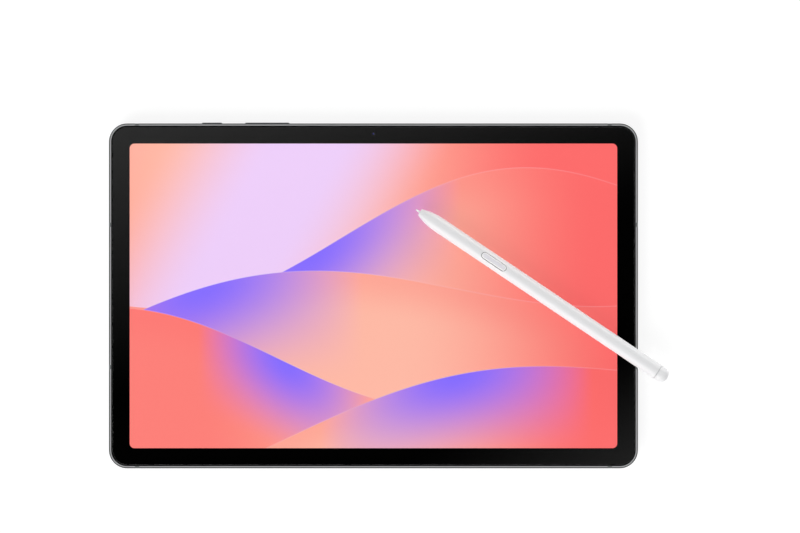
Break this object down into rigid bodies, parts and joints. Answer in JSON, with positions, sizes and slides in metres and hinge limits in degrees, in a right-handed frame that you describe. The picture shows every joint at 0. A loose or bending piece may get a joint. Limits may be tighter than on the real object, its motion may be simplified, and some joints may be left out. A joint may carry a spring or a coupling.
{
  "type": "tablet computer",
  "caption": "Slab tablet computer lying on its back, with rim keys, a card tray, a round rear camera and a white pen resting on the lit screen.",
  "frame": {"origin": "middle of the flat back face", "axes": "+X along the long side, to the right as the screen is read; +Y along the short side, towards the edge with the keys; +Z out of the screen"},
  "size_m": [0.2688, 0.1663, 0.0148],
  "materials": {
    "graphite_metal": "satin, bead blasted and anodised",
    "key_metal": "satin, anodised",
    "ring_metal": "satin with a turned edge",
    "strip_plastic": "matt, coloured to match the metal",
    "cover_glass": "polished, clear",
    "black_print": "black ink under glass",
    "black_adhesive": "matt",
    "lit_screen": "lit picture of flowing colours",
    "light_guide": "clear, frosted",
    "tray_metal": "plain sheet",
    "led_bar": "white board with yellow lights",
    "digitizer_foil": "printed foil",
    "flex_copper": "copper under amber film",
    "steel": "plain sheet",
    "screw_steel": "blackened",
    "graphite_sheet": "matt",
    "battery_foil": "black film over foil",
    "board": "solder mask",
    "chip_black": "moulded",
    "port_steel": "bright",
    "black_plastic": "moulded",
    "mesh_steel": "black woven mesh",
    "camera_window": "dark, polished",
    "lens_glass": "coated",
    "gold": "gold plated",
    "magnet": "nickel plated",
    "pen_white": "satin",
    "pen_button": "fine matt",
    "nib_plastic": "matt",
    "ferrite": "matt",
    "copper_wire": "enamelled wire"
  },
  "bodies": {
    "tablet": {"rear_housing": "graphite_metal", "left_edge_sections": "graphite_metal", "right_edge_sections": "graphite_metal", "left_antenna_strip": "strip_plastic", "right_antenna_strip": "strip_plastic", "cover_glass": "cover_glass", "border_mask": "black_print", "display_adhesive": "black_adhesive", "lcd_cell": "lit_screen", "light_guide": "light_guide", "backlight_tray": "tray_metal", "backlight_leds": "led_bar", "digitizer_sheet": "digitizer_foil", "display_flex": "flex_copper", "mid_plate": "tray_metal", "mid_plate_screws": "screw_steel", "heat_spreader": "graphite_sheet", "battery_cells": "battery_foil", "battery_circuit_board": "board", "battery_flex": "flex_copper", "main_board": "board", "processor": "chip_black", "memory_chips": "chip_black", "support_chips": "chip_black", "shield_cans": "steel", "main_board_screws": "screw_steel", "port_board": "board", "interconnect_flex": "flex_copper", "usb_shell": "port_steel", "usb_tongue": "black_plastic", "left_speaker": "black_plastic", "right_speaker": "black_plastic", "speaker_meshes": "mesh_steel", "rear_camera_ring": "ring_metal", "rear_camera_window": "camera_window", "rear_camera_body": "black_plastic", "front_camera_body": "black_plastic", "front_camera_lens": "lens_glass", "key_switch_flex": "flex_copper", "key_bracket": "steel", "card_reader": "steel", "eject_lever": "steel", "keyboard_contact_block": "black_plastic", "keyboard_contact_pins": "gold", "microphones": "gold", "cover_magnets": "magnet"},
    "power_key": {"power_key": "key_metal"},
    "volume_key": {"volume_key": "key_metal"},
    "card_tray": {"card_tray": "key_metal", "card_tray_seal": "black_adhesive"},
    "rear_lens": {"rear_lens_barrel": "black_plastic", "rear_lens_glass": "lens_glass"},
    "pen": {"pen_barrel": "pen_white", "pen_end_cap": "pen_white", "pen_ferrite": "ferrite", "pen_coil": "copper_wire", "pen_pressure_sensor": "chip_black", "pen_board": "board"},
    "pen_button": {"pen_button": "pen_button"},
    "pen_nib": {"pen_nib": "nib_plastic"}
  },
  "joints": [
    {"name": "power_key_press", "type": "slide", "parent": "tablet", "child": "power_key", "axis": [0, -1, 0], "range_m": [0, 0.0003], "stiffness_N_per_m": 1200},
    {"name": "volume_key_rock", "type": "hinge", "parent": "tablet", "child": "volume_key", "pos_m": [-0.05115, 0.08065, 0.0033], "axis": [0, 0, 1], "range_deg": [-1.2, 1.2], "stiffness_Nm_per_rad": 1},
    {"name": "card_tray_slide", "type": "slide", "parent": "tablet", "child": "card_tray", "axis": [1, 0, 0], "range_m": [0, 0.018]},
    {"name": "rear_lens_focus", "type": "slide", "parent": "tablet", "child": "rear_lens", "axis": [0, 0, -1], "range_m": [0, 0.0002], "stiffness_N_per_m": 300},
    {"name": "pen_lift", "type": "slide", "parent": "tablet", "child": "pen", "axis": [0, 0, 1], "range_m": [0, 0.00006]},
    {"name": "pen_button_press", "type": "slide", "parent": "pen", "child": "pen_button", "axis": [0, 0, -1], "range_m": [0, 0.0003], "stiffness_N_per_m": 300},
    {"name": "pen_nib_press", "type": "slide", "parent": "pen", "child": "pen_nib", "axis": [0.83, -0.5577, 0], "range_m": [0, 0.0004], "stiffness_N_per_m": 300}
  ]
}
